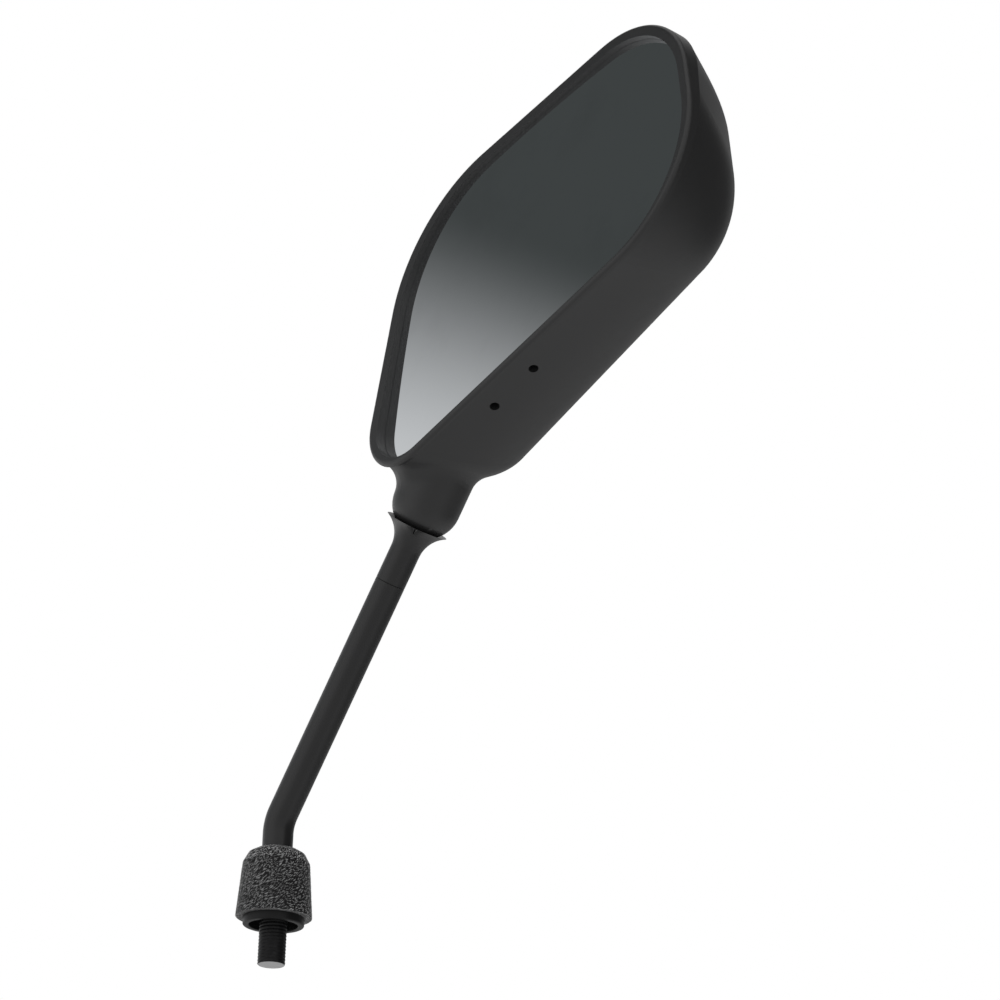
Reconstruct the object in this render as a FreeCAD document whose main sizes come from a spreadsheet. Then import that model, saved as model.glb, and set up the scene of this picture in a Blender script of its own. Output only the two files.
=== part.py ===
import FreeCAD, Part
import math
import os

import Sketcher
from FreeCAD import Placement, Rotation, Vector

# Motorcycle mirror, right-hand, screwed upright into a handlebar perch.
# The frame's origin is on the stud's axis at the lower face of the boot ring, +Z up along the stud.
# +X is the way that the stem leans, and the glass looks back along -Y.

SIZES = [
    # mounting stud and lock nut
    ("stud_diameter", 10.0, "thread's outside diameter"),
    ("stud_reach", 14.5, "thread below the boot ring"),
    ("stud_chamfer", 0.7, "bevel at the stud's tip"),
    ("relief_diameter", 8.4, "undercut between the fixing thread and the nut's thread"),
    ("relief_bottom", 1.5, "undercut's lower edge above the origin"),
    ("relief_width", 1.5, "undercut's width"),
    ("stud_grip", 12.0, "plain shank pressed into the stem"),
    ("nut_flats", 14.0, "lock nut across flats"),
    ("nut_height", 6.0, "lock nut's thickness"),
    ("nut_bottom", 6.0, "lock nut's lower face above the origin"),
    ("nut_bevel", 30.0, "slope of the bevels on the nut's corners, degrees"),
    ("washer_diameter", 16.4, "washer under the nut"),
    ("washer_thickness", 1.2, "washer under the nut"),
    ("thread_play", 0.08, "radial play of nut and washer on the stud"),
    # stem
    ("stem_diameter", 11.0, "stem tube outside"),
    ("stem_bore", 8.0, "stem tube inside"),
    ("stem_bottom", 20.0, "stem's lower end above the origin"),
    ("bend_height", 38.2, "where the two straight runs of the stem would meet"),
    ("bend_angle", 30.8, "lean of the upper run from the stud, degrees"),
    ("bend_radius", 15.0, "bend of the stem's centre line"),
    ("upper_run", 126.2, "from the bend's corner to the ball's centre"),
    # ball joint
    ("ball_diameter", 16.0, "steel ball"),
    ("ball_neck", 6.0, "narrow neck under the ball"),
    ("neck_taper", 3.2, "height of the cone from the neck to the shank"),
    ("shank_grip", 20.0, "ball stud's shank inside the stem"),
    ("seat_play", 0.08, "play of ball and seats"),
    ("seat_wall", 1.5, "thickness of the lower ball seat"),
    ("seat_rise", 10.0, "lower seat's upper edge below the ball's equator, degrees"),
    ("seat_dip", 46.0, "lower seat's lower edge below the ball's equator, degrees"),
    ("upper_seat_bottom", 2.8, "upper seat's lower face above the ball's centre"),
    ("upper_seat_top", 12.0, "upper seat's upper face above the ball's centre"),
    ("spring_length", 10.0, "pressure spring as fitted"),
    ("spring_diameter", 12.4, "pressure spring's mean diameter"),
    ("spring_wire", 1.8, "pressure spring's wire"),
    ("spring_turns", 3.5, "coils"),
    ("spring_slack", 0.05, "spring ends short of their seats"),
    ("plate_thickness", 1.2, "washer over the spring"),
    ("plate_hole", 6.0, "hole in that washer"),
    ("clip_thickness", 1.0, "retaining ring"),
    ("clip_width", 1.8, "retaining ring, in to out"),
    ("clip_opening", 40.0, "open part of the retaining ring, degrees"),
    ("clip_depth", 0.8, "retaining ring's groove in the neck's bore"),
    ("clip_play", 0.05, "retaining ring in its groove"),
    # collar
    ("collar_rim", 23.2, "flared rim's diameter"),
    ("collar_drop", 8.4, "rim below the ball's centre"),
    ("flare_height", 10.0, "height of the flare"),
    ("collar_wall", 0.75, "wall of the flare"),
    ("collar_edge", 0.3, "flat on the rim"),
    ("collar_floor", 13.4, "cup's floor below the ball's centre"),
    ("collar_length", 22.6, "rim to the joint line with the stem"),
    # boot and ring
    ("boot_bottom", 3.0, "boot's lower edge above the origin"),
    ("boot_diameter", 27.8, "boot at its lower edge"),
    ("boot_edge", 0.8, "bevel on the lower edge"),
    ("boot_shoulder", 23.8, "height of the shoulder"),
    ("shoulder_diameter", 24.2, "boot at the shoulder"),
    ("boot_top", 28.2, "height of the boot's top"),
    ("boot_top_diameter", 18.4, "boot's top"),
    ("boot_roof", 22.5, "top of the hollow round the nut"),
    ("boot_hollow", 19.4, "hollow round the nut"),
    ("boot_play", 0.05, "boot on the stem"),
    ("ring_diameter", 22.1, "boot ring outside"),
    ("ring_bore", 17.7, "boot ring inside"),
    ("ring_height", 12.0, "boot ring"),
    ("ring_round", 0.8, "rounded lower edge of the ring"),
    # head, in its own axes from the ball's centre: X outward, Y back, Z up
    ("head_yaw", -10.8, "head's turn about the upright, degrees"),
    ("head_tilt", -12.7, "glass looking up, degrees"),
    ("head_lean", -26.0, "outer end raised, degrees"),
    ("rim_front", 22.0, "rim's plane in front of the ball's centre"),
    ("inner_low_x", -14.9, "rim's lower inner corner"),
    ("inner_low_z", -2.4, "rim's lower inner corner"),
    ("inner_low_round", 21.9, "its rounding"),
    ("inner_high_x", 27.4, "rim's upper inner corner"),
    ("inner_high_z", 110.3, "rim's upper inner corner"),
    ("inner_high_round", 58.2, "its rounding"),
    ("outer_high_x", 175.7, "rim's upper outer corner"),
    ("outer_high_z", 109.1, "rim's upper outer corner"),
    ("outer_high_round", 43.6, "its rounding"),
    ("outer_low_x", 178.9, "rim's lower outer corner"),
    ("outer_low_z", 6.9, "rim's lower outer corner"),
    ("outer_low_round", 48.6, "its rounding"),
    ("head_depth", 41.0, "rim to the back"),
    ("inner_draft", 24.0, "taper of the inner end towards the back, degrees"),
    ("upper_draft", 40.0, "taper of the upper wall, degrees"),
    ("outer_draft", 22.8, "taper of the outer end, degrees"),
    ("lower_draft", 0.3, "taper of the lower wall, degrees"),
    ("lower_twist", 4.8, "turn of the lower wall from rim to back, degrees"),
    ("corner_easing", 0.35, "share that the lower inner corner's rounding gains from rim to back"),
    ("corner_tightening", 0.22, "share that the lower outer corner's rounding loses from rim to back"),
    ("back_crown", 17.0, "rounding of the sides into the back, inward"),
    ("crease_low", 2.4, "depth of the rim's band at the lower wall"),
    ("crease_high", 8.3, "depth of the rim's band at the upper wall"),
    ("rim_round", 1.6, "rim's outer edge"),
    ("lip_width", 5.2, "rim's lip at the inner end and the upper wall"),
    ("outer_lip", 4.2, "rim's lip at the outer end"),
    ("lower_lip", 2.0, "rim's lip at the lower wall"),
    ("ledge_width", 2.6, "seat of the glass inside the lip"),
    ("shell_wall", 3.0, "housing's wall at the back"),
    ("neck_diameter", 24.8, "housing's neck, and its dome round the ball"),
    ("neck_top", 26.0, "inner end of the neck above the ball's centre"),
    ("boss_wall", 1.7, "wall round the joint's bore inside the shell"),
    ("neck_fillet", 8.5, "blend of the neck into the shell"),
    ("mouth_dip", 47.0, "neck's mouth below the ball's equator, degrees"),
    ("drain_diameter", 3.6, "drain holes in the lower wall"),
    ("drain_near_x", 52.6, "first drain hole"),
    ("drain_pitch", 21.8, "spacing of the drain holes"),
    ("drain_back", 9.9, "drain holes behind the rim's plane"),
    # glass
    ("glass_gap", 0.3, "glass edge to the lip"),
    ("glass_recess", 4.2, "glass behind the rim's plane at its far ends"),
    ("glass_thickness", 2.0, "glass"),
    ("glass_radius", 1400.0, "convex curve of the glass"),
    ("pad_thickness", 1.2, "backing pad at the far ends"),
]

doc = FreeCAD.newDocument("mirror")
sheet = doc.addObject("Spreadsheet::Sheet", "Sizes")
for row, (alias, number, note) in enumerate(SIZES, start=1):
    sheet.set(f"A{row}", note)
    sheet.set(f"B{row}", str(number))
    sheet.setAlias(f"B{row}", alias)
doc.recompute()


class Size:
    """A length or angle that follows the sheet: its value now and the expression that gives it."""

    def __init__(self, value, text):
        self.value = value
        self.text = text

    @staticmethod
    def of(number):
        return number if isinstance(number, Size) else Size(float(number), repr(number))

    def joined(self, sign, other, value):
        return Size(value, f"({self.text} {sign} {other.text})")

    def __add__(self, other):
        other = Size.of(other)
        return self.joined("+", other, self.value + other.value)

    def __sub__(self, other):
        other = Size.of(other)
        return self.joined("-", other, self.value - other.value)

    def __mul__(self, other):
        other = Size.of(other)
        return self.joined("*", other, self.value * other.value)

    def __truediv__(self, other):
        other = Size.of(other)
        return self.joined("/", other, self.value / other.value)

    def __rsub__(self, other):
        return Size.of(other) - self

    def __neg__(self):
        return Size(-self.value, f"(-1 * {self.text})")

    __radd__ = __add__
    __rmul__ = __mul__


class Cells:
    """The sheet's cells by alias, as Size."""

    def __getattr__(self, alias):
        return Size(float(sheet.get(alias)), f"Sizes.{alias}")


cell = Cells()


def sine(angle):
    return Size(math.sin(math.radians(angle.value)), f"sin({angle.text})")


def cosine(angle):
    return Size(math.cos(math.radians(angle.value)), f"cos({angle.text})")


def tangent(angle):
    return Size(math.tan(math.radians(angle.value)), f"tan({angle.text})")


def root(size):
    return Size(math.sqrt(size.value), f"sqrt({size.text})")


# Sketches and features

def origin_plane(body, role):
    return next(f for f in body.Origin.OriginFeatures if f.Role == role)


def arc_between(start, end, radius, counterclockwise):
    chord = end - start
    left = Vector(-chord.y, chord.x, 0).normalize()
    rise = math.sqrt(max(radius ** 2 - (chord.Length / 2) ** 2, 0.0))
    centre = (start + end) / 2 + left * (rise if counterclockwise else -rise)
    first, last = (start, end) if counterclockwise else (end, start)
    angles = [math.atan2(p.y - centre.y, p.x - centre.x) for p in (first, last)]
    circle = Part.Circle(centre, Vector(0, 0, 1), radius)
    return Part.ArcOfCircle(circle, angles[0], angles[1])


def bind(sketch, kind, place, size):
    index = sketch.addConstraint(Sketcher.Constraint(kind, *place, size.value))
    sketch.setExpression(f"Constraints[{index}]", size.text)


def pin_point(sketch, geometry, end, point):
    """Fix a sketch point at its two sizes; a plain 0 puts it on the sketch's axis."""
    for size, kind, axis in ((point[0], "DistanceX", -2), (point[1], "DistanceY", -1)):
        if isinstance(size, Size):
            bind(sketch, kind, (geometry, end), size)
        else:
            sketch.addConstraint(Sketcher.Constraint("PointOnObject", geometry, end, axis))


def draw(body, name, role, points, closed=True):
    """A sketch on one of the body's planes through the points (x, y) or (x, y, radius, turn).

    A radius makes the stretch to the next point an arc, anticlockwise where turn is True."""
    sketch = body.newObject("Sketcher::SketchObject", name)
    sketch.AttachmentSupport = [(origin_plane(body, role), "")]
    sketch.MapMode = "FlatFace"
    spots = [Vector(Size.of(p[0]).value, Size.of(p[1]).value, 0) for p in points]
    count = len(points) if closed else len(points) - 1
    ends = []
    for i in range(count):
        start, end = spots[i], spots[(i + 1) % len(points)]
        if len(points[i]) == 4:
            radius, turn = points[i][2], points[i][3]
            index = sketch.addGeometry(arc_between(start, end, radius.value, turn))
            ends.append((index, 1, 2) if turn else (index, 2, 1))
        else:
            index = sketch.addGeometry(Part.LineSegment(start, end))
            ends.append((index, 1, 2))
    for i in range(count if closed else count - 1):
        (one, _, tail), (two, head, _) = ends[i], ends[(i + 1) % count]
        sketch.addConstraint(Sketcher.Constraint("Coincident", one, tail, two, head))
    for i in range(count):
        index, head, tail = ends[i]
        pin_point(sketch, index, head, points[i])
        if not closed and i == count - 1:
            pin_point(sketch, index, tail, points[-1])
        if len(points[i]) == 4:
            bind(sketch, "Radius", (index,), points[i][2])
    return sketch


def circles(body, name, role, radii, height=None):
    """A sketch of circles about the body's upright axis, raised by height."""
    sketch = body.newObject("Sketcher::SketchObject", name)
    sketch.AttachmentSupport = [(origin_plane(body, role), "")]
    sketch.MapMode = "FlatFace"
    if height is not None:
        sketch.setExpression("AttachmentOffset.Base.z", height.text)
    for radius in radii:
        index = sketch.addGeometry(Part.Circle(Vector(0, 0, 0), Vector(0, 0, 1), radius.value))
        sketch.addConstraint(Sketcher.Constraint("Coincident", index, 3, -1, 1))
        bind(sketch, "Radius", (index,), radius)
    return sketch


def new_body(label, place=None):
    body = doc.addObject("PartDesign::Body", label)
    if place:
        body.setExpression("Placement", place)
    return body


def turned(label, points, place=None, sweep=None):
    """A piece turned about its own upright axis from a half section (radius, height)."""
    body = new_body(label, place)
    sketch = draw(body, label + "_section", "XZ_Plane", points)
    turn = body.newObject("PartDesign::Revolution", label + "_turn")
    turn.Profile = sketch
    turn.ReferenceAxis = (sketch, ["V_Axis"])
    turn.Angle = 360
    if sweep is not None:
        turn.setExpression("Angle", sweep.text)
    return body


# Places: the ball joint's axes lie along the stem's upper run, the head's are turned to the rider

BALL_SPOT = (
    "vector(Sizes.upper_run * sin(Sizes.bend_angle); 0; "
    "Sizes.bend_height + Sizes.upper_run * cos(Sizes.bend_angle))"
)
JOINT_PLACE = f"placement({BALL_SPOT}; rotation(vector(0; 1; 0); Sizes.bend_angle))"
HEAD_TURN = (
    "rotation(vector(0; 0; 1); Sizes.head_yaw) * rotation(vector(1; 0; 0); Sizes.head_tilt)"
    " * rotation(vector(0; 1; 0); Sizes.head_lean)"
)
HEAD_PLACE = f"placement({BALL_SPOT}; {HEAD_TURN})"

# Driving radii and heights that several pieces share

stud_radius = cell.stud_diameter / 2
stem_radius = cell.stem_diameter / 2
shank_radius = cell.stem_bore / 2
ball_radius = cell.ball_diameter / 2
seat_radius = ball_radius + cell.seat_play
seat_outside = seat_radius + cell.seat_wall
bore_radius = seat_outside + cell.seat_play
plate_bottom = cell.upper_seat_top + cell.spring_length
clip_bottom = plate_bottom + cell.plate_thickness


def mounting_stud():
    tip = -cell.stud_reach
    relief = cell.relief_diameter / 2
    relief_top = cell.relief_bottom + cell.relief_width
    turned("mounting_stud", [
        (0, tip),
        (stud_radius - cell.stud_chamfer, tip),
        (stud_radius, tip + cell.stud_chamfer),
        (stud_radius, cell.relief_bottom),
        (relief, cell.relief_bottom),
        (relief, relief_top),
        (stud_radius, relief_top),
        (stud_radius, cell.stem_bottom),
        (shank_radius, cell.stem_bottom),
        (shank_radius, cell.stem_bottom + cell.stud_grip),
        (0, cell.stem_bottom + cell.stud_grip),
    ])


def stem_tube():
    body = new_body("stem_tube")
    run_in = cell.bend_radius * tangent(cell.bend_angle / 2)
    length = cell.upper_run - cell.collar_drop - cell.collar_length
    lean_x, lean_z = sine(cell.bend_angle), cosine(cell.bend_angle)
    path = draw(body, "stem_path", "XZ_Plane", [
        (0, cell.stem_bottom),
        (0, cell.bend_height - run_in, cell.bend_radius, False),
        (run_in * lean_x, cell.bend_height + run_in * lean_z),
        (length * lean_x, cell.bend_height + length * lean_z),
    ], closed=False)
    ring = circles(body, "stem_section", "XY_Plane", [stem_radius, shank_radius], cell.stem_bottom)
    pipe = body.newObject("PartDesign::AdditivePipe", "stem_sweep")
    pipe.Profile = ring
    pipe.Spine = (path, [])


def ball_stud():
    neck = cell.ball_neck / 2
    neck_top = root(ball_radius * ball_radius - neck * neck)
    shoulder = cell.collar_floor
    turned("ball_stud", [
        (0, -(cell.collar_drop + cell.collar_length + cell.shank_grip)),
        (shank_radius, -(cell.collar_drop + cell.collar_length + cell.shank_grip)),
        (shank_radius, -shoulder),
        (neck, -(shoulder - cell.neck_taper)),
        (neck, -neck_top, ball_radius, True),
        (0, ball_radius),
    ], JOINT_PLACE)


def joint_collar():
    rim = cell.collar_rim / 2
    flare_out = rim - stem_radius
    flare = (flare_out * flare_out + cell.flare_height * cell.flare_height) / (flare_out * 2)
    inner = flare + cell.collar_wall
    flare_foot = cell.collar_drop + cell.flare_height
    seam = cell.collar_drop + cell.collar_length
    lip = cell.collar_drop + cell.collar_wall

    def inner_radius(drop):
        below = flare_foot - drop
        return stem_radius + flare - root(inner * inner - below * below)

    turned("joint_collar", [
        (shank_radius, -seam),
        (stem_radius, -seam),
        (stem_radius, -flare_foot, flare, False),
        (rim, -cell.collar_drop),
        (rim - cell.collar_edge, -cell.collar_drop),
        (inner_radius(lip), -lip, inner, True),
        (inner_radius(cell.collar_floor), -cell.collar_floor),
        (shank_radius, -cell.collar_floor),
    ], JOINT_PLACE)


def rubber_boot():
    ring = cell.ring_diameter / 2
    outside = cell.boot_diameter / 2
    hollow = cell.boot_hollow / 2
    bore = stem_radius + cell.boot_play
    turned("rubber_boot", [
        (ring, cell.boot_bottom),
        (outside - cell.boot_edge, cell.boot_bottom),
        (outside, cell.boot_bottom + cell.boot_edge),
        (cell.shoulder_diameter / 2, cell.boot_shoulder),
        (cell.boot_top_diameter / 2, cell.boot_top),
        (bore, cell.boot_top),
        (bore, cell.boot_roof),
        (hollow, cell.boot_roof - (hollow - bore) / 2),
        (hollow, cell.ring_height),
        (ring, cell.ring_height),
    ])


def boot_ring():
    outside = cell.ring_diameter / 2
    bore = cell.ring_bore / 2
    turned("boot_ring", [
        (bore, 0),
        (outside - cell.ring_round, 0, cell.ring_round, True),
        (outside, cell.ring_round),
        (outside, cell.ring_height),
        (bore, cell.ring_height),
    ])


def lock_washer():
    bore = stud_radius + cell.thread_play
    outside = cell.washer_diameter / 2
    turned("lock_washer", [
        (bore, cell.nut_bottom - cell.washer_thickness),
        (outside, cell.nut_bottom - cell.washer_thickness),
        (outside, cell.nut_bottom),
        (bore, cell.nut_bottom),
    ])


def lock_nut():
    body = new_body("lock_nut")
    half_flats = cell.nut_flats / 2
    sixth = Size.of(60)
    corner = half_flats / cosine(sixth / 2)
    reach = corner * sine(sixth)
    outline = [
        (corner, 0), (corner / 2, reach), (-corner / 2, reach),
        (-corner, 0), (-corner / 2, -reach), (corner / 2, -reach),
    ]
    sketch = draw(body, "nut_outline", "XY_Plane", outline)
    sketch.setExpression("AttachmentOffset.Base.z", cell.nut_bottom.text)
    index = sketch.addGeometry(Part.Circle(Vector(0, 0, 0), Vector(0, 0, 1), stud_radius.value))
    sketch.addConstraint(Sketcher.Constraint("Coincident", index, 3, -1, 1))
    bind(sketch, "Radius", (index,), stud_radius + cell.thread_play)
    pad = body.newObject("PartDesign::Pad", "nut_pad")
    pad.Profile = sketch
    pad.setExpression("Length", cell.nut_height.text)
    slope = tangent(cell.nut_bevel)
    wide = corner * 2 - half_flats
    fall = (wide - half_flats) * slope
    top = cell.nut_bottom + cell.nut_height
    for name, face, inward in (("upper", top, -fall), ("lower", cell.nut_bottom, fall)):
        bevel = draw(body, f"nut_{name}_bevel", "XZ_Plane", [
            (half_flats, face), (wide, face), (wide, face + inward),
        ])
        groove = body.newObject("PartDesign::Groove", f"nut_{name}_groove")
        groove.Profile = bevel
        groove.ReferenceAxis = (bevel, ["V_Axis"])
        groove.Angle = 360


def lower_ball_seat():
    def on(radius, angle):
        return radius * cosine(angle), -(radius * sine(angle))

    turned("lower_ball_seat", [
        on(seat_radius, cell.seat_dip),
        (*on(seat_outside, cell.seat_dip), seat_outside, True),
        on(seat_outside, cell.seat_rise),
        (*on(seat_radius, cell.seat_rise), seat_radius, False),
    ], JOINT_PLACE)


def upper_ball_seat():
    bottom = cell.upper_seat_bottom
    turned("upper_ball_seat", [
        (0, seat_radius),
        (0, cell.upper_seat_top),
        (seat_outside, cell.upper_seat_top),
        (seat_outside, bottom),
        (root(seat_radius * seat_radius - bottom * bottom), bottom, seat_radius, True),
    ], JOINT_PLACE)


def pressure_spring():
    wire = cell.spring_wire / 2
    travel = cell.spring_length - cell.spring_wire - cell.spring_slack * 2
    start = cell.upper_seat_top + wire + cell.spring_slack
    helix = doc.addObject("Part::Helix", "spring_helix")
    helix.setExpression("Radius", (cell.spring_diameter / 2).text)
    helix.setExpression("Height", travel.text)
    helix.setExpression("Pitch", (travel / cell.spring_turns).text)
    circle = doc.addObject("Part::Circle", "spring_section")
    circle.setExpression("Radius", wire.text)
    circle.Placement = Placement(Vector(), Rotation(Vector(1, 0, 0), 90))
    circle.setExpression("Placement.Base.x", (cell.spring_diameter / 2).text)
    doc.recompute()
    coil = doc.addObject("Part::Sweep", "pressure_spring")
    coil.Sections = [circle]
    coil.Spine = (helix, [f"Edge{i + 1}" for i in range(len(helix.Shape.Edges))])
    coil.Solid = True
    coil.Frenet = True
    lift = f"placement(vector(0; 0; {start.text}); rotation(0; 0; 0))"
    coil.setExpression("Placement", f"{JOINT_PLACE} * {lift}")


def spring_plate():
    turned("spring_plate", [
        (cell.plate_hole / 2, plate_bottom),
        (seat_outside, plate_bottom),
        (seat_outside, clip_bottom),
        (cell.plate_hole / 2, clip_bottom),
    ], JOINT_PLACE)


def retaining_ring():
    outside = bore_radius + cell.clip_depth - cell.clip_play
    turned("retaining_ring", [
        (outside - cell.clip_width, clip_bottom),
        (outside, clip_bottom),
        (outside, clip_bottom + cell.clip_thickness),
        (outside - cell.clip_width, clip_bottom + cell.clip_thickness),
    ], JOINT_PLACE, sweep=360 - cell.clip_opening)


# Head: the shell is lofted through insets of one rim outline

def rim_corners():
    names = ("inner_low", "inner_high", "outer_high", "outer_low")
    return [(Vector(*(sheet.get(f"{n}_{axis}") for axis in "xz"), 0), sheet.get(f"{n}_round"))
            for n in names]


def meet(point, along, other, other_along):
    """Where two lines cross, each a point and a direction in the rim's plane."""
    cross = along.x * other_along.y - along.y * other_along.x
    gap = other - point
    return point + along * ((gap.x * other_along.y - gap.y * other_along.x) / cross)


def rim_wire(insets, depth, share=0.0, slope=0.0):
    """The rim's rounded outline at a depth behind the rim's plane, each side drawn in by its inset.

    The sides are the inner, upper, outer and lower one; share is how far back the outline is, which turns
    the lower side about its middle, eases its inner corner and tightens its outer one, and slope is depth
    gained for each mm of height."""
    twist = share * sheet.get("lower_twist")
    tight = (1 + share * sheet.get("corner_easing"), 1, 1, 1 - share * sheet.get("corner_tightening"))
    corners = rim_corners()
    count = len(corners)
    sides = []
    for i in range(count):
        start, end = corners[i][0], corners[(i + 1) % count][0]
        along = (end - start).normalize()
        middle = (start + end) / 2 + Vector(along.y, -along.x, 0) * insets[i]
        if i == count - 1:
            along = Rotation(Vector(0, 0, 1), twist).multVec(along)
        sides.append((middle, along))
    spots = [meet(*sides[i - 1], *sides[i]) for i in range(count)]
    back = depth - sheet.get("rim_front")
    stops = []
    for i in range(count):
        drawn_in = (insets[i - 1] + insets[i]) / 2
        radius = max(corners[i][1] * tight[i] - drawn_in, sheet.get("rim_round"))
        inward, onward = -sides[i - 1][1], sides[i][1]
        half = inward.getAngle(onward) / 2
        middle = spots[i] + (inward + onward).normalize() * (radius / math.sin(half))
        run = radius / math.tan(half)
        nearest = middle + (spots[i] - middle).normalize() * radius
        stops.append((spots[i] + inward * run, nearest, spots[i] + onward * run))

    def lifted(point):
        return Vector(point.x, back + slope * point.y, point.y)

    edges = []
    for i in range(count):
        before, nearest, after = (lifted(p) for p in stops[i])
        following = lifted(stops[(i + 1) % count][0])
        edges.append(Part.Arc(before, nearest, after).toShape())
        edges.append(Part.LineSegment(after, following).toShape())
    return Part.Wire(edges)


def lip_insets(more=0.0):
    """Insets of the four sides at the lip's inner edge, and so much more."""
    return [sheet.get(lip) + more for lip in ("lip_width", "lip_width", "outer_lip", "lower_lip")]


def rim_prism(insets, front, back):
    face = Part.Face(rim_wire(insets, front))
    return face.extrude(Vector(0, back - front, 0))


BACK_STEPS = (0.36, 0.55, 0.72, 0.85, 0.94, 1.0)


def draft_slopes():
    sides = ("inner", "upper", "outer", "lower")
    return [math.tan(math.radians(sheet.get(f"{side}_draft"))) for side in sides]


def taper_insets(share):
    """Insets of the back's four sides at a share of its depth: a draft, then an elliptic rounding.

    The upper and the outer wall begin to taper at the crease, the others at the rim."""
    depth = sheet.get("head_depth") * share
    crown = sheet.get("back_crown") * (1 - math.sqrt(1 - share ** 4))
    high = sheet.get("crease_high")
    starts = (0, high, (sheet.get("crease_low") + high) / 2, 0)
    return [(depth - start) * slope + crown for start, slope in zip(starts, draft_slopes())]


def crease_wire():
    """The back edge of the rim's band, deeper at the upper wall than at the lower one."""
    low, high = sheet.get("crease_low"), sheet.get("crease_high")
    inner, _, _, lower = draft_slopes()
    insets = [inner * (low + high) / 2, 0, 0, lower * low]
    return rim_wire(insets, low, slope=(high - low) / sheet.get("inner_high_z"))


def shell_outside():
    """Rounded rim edge, band and tapered back, stacked on shared outlines."""
    depth = sheet.get("head_depth")
    rounding = sheet.get("rim_round")
    turns = [math.radians(a) for a in (0, 30, 60, 90)]
    edge = [rim_wire([rounding * (1 - math.sin(a))] * 4, rounding * (1 - math.cos(a))) for a in turns]
    back = [rim_wire(taper_insets(s), s * depth, s) for s in BACK_STEPS]
    band = Part.makeLoft([edge[-1], crease_wire()], True, True)
    return Part.makeLoft(edge, True).fuse([band, Part.makeLoft([crease_wire()] + back, True)])


def head_hollow():
    """The room behind the glass, a wall's thickness inside the tapered back."""
    wall = sheet.get("shell_wall")
    whole = sheet.get("head_depth")
    least = lip_insets(sheet.get("ledge_width"))
    front = ledge_depth()
    wires = []
    for step in (0.0,) + BACK_STEPS:
        depth = front + (whole - wall - front) * step
        share = depth / whole
        insets = [math.hypot(m, max(i + wall, 0.0)) for m, i in zip(least, taper_insets(share))]
        wires.append(rim_wire(insets, depth, share))
    return Part.makeLoft(wires, True)


def ledge_depth():
    return sheet.get("glass_recess") + sheet.get("glass_thickness") + sheet.get("pad_thickness")


def neck_turn():
    """The turn from the ball joint's axes into the head's axes."""
    joint = Rotation(Vector(0, 1, 0), sheet.get("bend_angle"))
    head = Rotation(Vector(0, 0, 1), sheet.get("head_yaw"))
    head = head * Rotation(Vector(1, 0, 0), sheet.get("head_tilt"))
    head = head * Rotation(Vector(0, 1, 0), sheet.get("head_lean"))
    return head.inverted() * joint


def along_neck(shape):
    shape.Placement = Placement(Vector(), neck_turn())
    return shape


def neck_rod(radius, bottom, top):
    rod = Part.makeCylinder(radius, top - bottom)
    turn = neck_turn()
    rod.Placement = Placement(turn.multVec(Vector(0, 0, bottom)), turn)
    return rod


def blend_neck(shape):
    """Round the corner where the neck's cylinder runs into the shell."""
    neck_radius = sheet.get("neck_diameter") / 2

    def on_neck(surface):
        return isinstance(surface, Part.Cylinder) and abs(surface.Radius - neck_radius) < 1e-6

    corner = []
    for edge in shape.Edges:
        surfaces = [f.Surface for f in shape.ancestorsOfType(edge, Part.Face)]
        others = [s for s in surfaces if not isinstance(s, (Part.Cylinder, Part.Sphere))]
        if others and any(on_neck(s) for s in surfaces):
            corner.append(edge)
    return shape.makeFillet(sheet.get("neck_fillet"), corner)


def housing():
    depth = sheet.get("head_depth")
    neck_radius = sheet.get("neck_diameter") / 2
    neck_top = sheet.get("neck_top")
    dome = Part.makeSphere(neck_radius)
    neck = neck_rod(neck_radius, 0, neck_top).fuse(dome)
    outside = blend_neck(shell_outside().fuse(neck).removeSplitter())
    hollow = head_hollow().cut(neck_rod(bore_radius.value + sheet.get("boss_wall"), 0, neck_top))
    pocket = rim_prism(lip_insets(), 0, ledge_depth())
    bore = neck_rod(bore_radius.value, 0, depth)
    socket = Part.makeSphere(bore_radius.value)
    mouth_angle = math.radians(90 - sheet.get("mouth_dip"))
    reach = 2 * neck_radius
    mouth = along_neck(Part.makeCone(0, reach * math.tan(mouth_angle), reach, Vector(), Vector(0, 0, -1)))
    groove = neck_rod(bore_radius.value + sheet.get("clip_depth"), clip_bottom.value,
                      clip_bottom.value + sheet.get("clip_thickness"))
    shape = outside.cut(hollow).cut(pocket).cut(bore).cut(socket).cut(mouth).cut(groove)
    for number in range(2):
        x = sheet.get("drain_near_x") + number * sheet.get("drain_pitch")
        y = sheet.get("drain_back") - sheet.get("rim_front")
        hole = Part.makeCylinder(sheet.get("drain_diameter") / 2, depth, Vector(x, y, -depth / 2))
        shape = shape.cut(hole)
    return shape


def glass_ball(offset):
    """Solid ball whose front follows the convex glass, offset back from its face."""
    corners = [c for c, _ in rim_corners()]
    middle = sum(corners, Vector()) / len(corners)
    radius = sheet.get("glass_radius")
    reach = max((c - middle).Length for c in corners) - sheet.get("inner_low_round")
    front = sheet.get("glass_recess") - sheet.get("rim_front")
    centre = Vector(middle.x, front + math.sqrt(radius ** 2 - reach ** 2), middle.y)
    return Part.makeSphere(radius - offset, centre)


def feature(label, shape):
    piece = doc.addObject("Part::Feature", label)
    piece.Shape = shape
    piece.setExpression("Placement", HEAD_PLACE)


def head_pieces():
    blank = rim_prism(lip_insets(sheet.get("glass_gap")), 0, ledge_depth())
    behind = glass_ball(sheet.get("glass_thickness"))
    feature("housing", housing())
    feature("mirror_glass", blank.common(glass_ball(0)).cut(behind))
    feature("backing_pad", blank.common(behind))


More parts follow.
